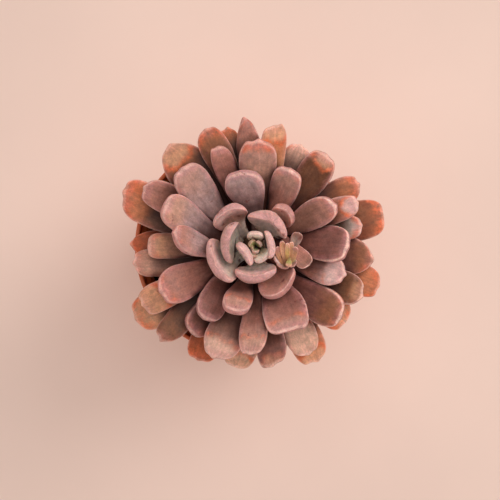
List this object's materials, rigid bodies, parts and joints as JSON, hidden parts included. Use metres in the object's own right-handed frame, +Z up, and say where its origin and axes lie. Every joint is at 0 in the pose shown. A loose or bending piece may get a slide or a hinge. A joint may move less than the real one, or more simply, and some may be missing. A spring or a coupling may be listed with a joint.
{
  "type": "potted succulent",
  "caption": "Rosette succulent with thick, dusty pink and brown leaves on a short stem, growing in a tapered round plastic grower's pot filled with potting soil.",
  "frame": {"origin": "centre of the pot's underside, on the pot's axis", "axes": "+Z up along the pot's axis; +X and +Y level, with the rosette's stem standing off the pot's axis towards +X"},
  "size_m": [0.1246, 0.1195, 0.14],
  "materials": {
    "terracotta_plastic": "matt, moulded",
    "potting_soil": "loose, dark and dry",
    "stem": "matt, corky",
    "base_leaf": "waxy, dull",
    "lower_leaf": "waxy, powdery",
    "middle_leaf": "waxy, powdery",
    "upper_leaf": "powdery bloom",
    "inner_leaf": "powdery bloom",
    "heart_leaf": "powdery bloom",
    "heart_bud": "powdery bloom",
    "side_rosette": "waxy"
  },
  "bodies": {
    "root": {"pot": "terracotta_plastic", "soil": "potting_soil", "stem": "stem", "base_leaf_01": "base_leaf", "base_leaf_02": "base_leaf", "base_leaf_03": "base_leaf", "base_leaf_04": "base_leaf", "base_leaf_05": "base_leaf", "base_leaf_06": "base_leaf", "base_leaf_07": "base_leaf", "base_leaf_08": "base_leaf", "base_leaf_09": "base_leaf", "lower_leaf_01": "lower_leaf", "lower_leaf_02": "lower_leaf", "lower_leaf_03": "lower_leaf", "lower_leaf_04": "lower_leaf", "lower_leaf_05": "lower_leaf", "lower_leaf_06": "lower_leaf", "lower_leaf_07": "lower_leaf", "lower_leaf_08": "lower_leaf", "lower_leaf_09": "lower_leaf", "lower_leaf_10": "lower_leaf", "lower_leaf_11": "lower_leaf", "lower_leaf_12": "lower_leaf", "lower_leaf_13": "lower_leaf", "lower_leaf_14": "lower_leaf", "middle_leaf_01": "middle_leaf", "middle_leaf_02": "middle_leaf", "middle_leaf_03": "middle_leaf", "middle_leaf_04": "middle_leaf", "middle_leaf_05": "middle_leaf", "middle_leaf_06": "middle_leaf", "middle_leaf_07": "middle_leaf", "middle_leaf_08": "middle_leaf", "middle_leaf_09": "middle_leaf", "middle_leaf_10": "middle_leaf", "middle_leaf_11": "middle_leaf", "middle_leaf_12": "middle_leaf", "upper_leaf_01": "upper_leaf", "upper_leaf_02": "upper_leaf", "upper_leaf_03": "upper_leaf", "upper_leaf_04": "upper_leaf", "upper_leaf_05": "upper_leaf", "upper_leaf_06": "upper_leaf", "upper_leaf_07": "upper_leaf", "upper_leaf_08": "upper_leaf", "upper_leaf_09": "upper_leaf", "upper_leaf_10": "upper_leaf", "upper_leaf_11": "upper_leaf", "inner_leaf_01": "inner_leaf", "inner_leaf_02": "inner_leaf", "inner_leaf_03": "inner_leaf", "inner_leaf_04": "inner_leaf", "inner_leaf_05": "inner_leaf", "inner_leaf_06": "inner_leaf", "inner_leaf_07": "inner_leaf", "heart_leaf_01": "heart_leaf", "heart_leaf_02": "heart_leaf", "heart_bud": "heart_bud", "side_rosette": "side_rosette"}
  },
  "joints": []
}
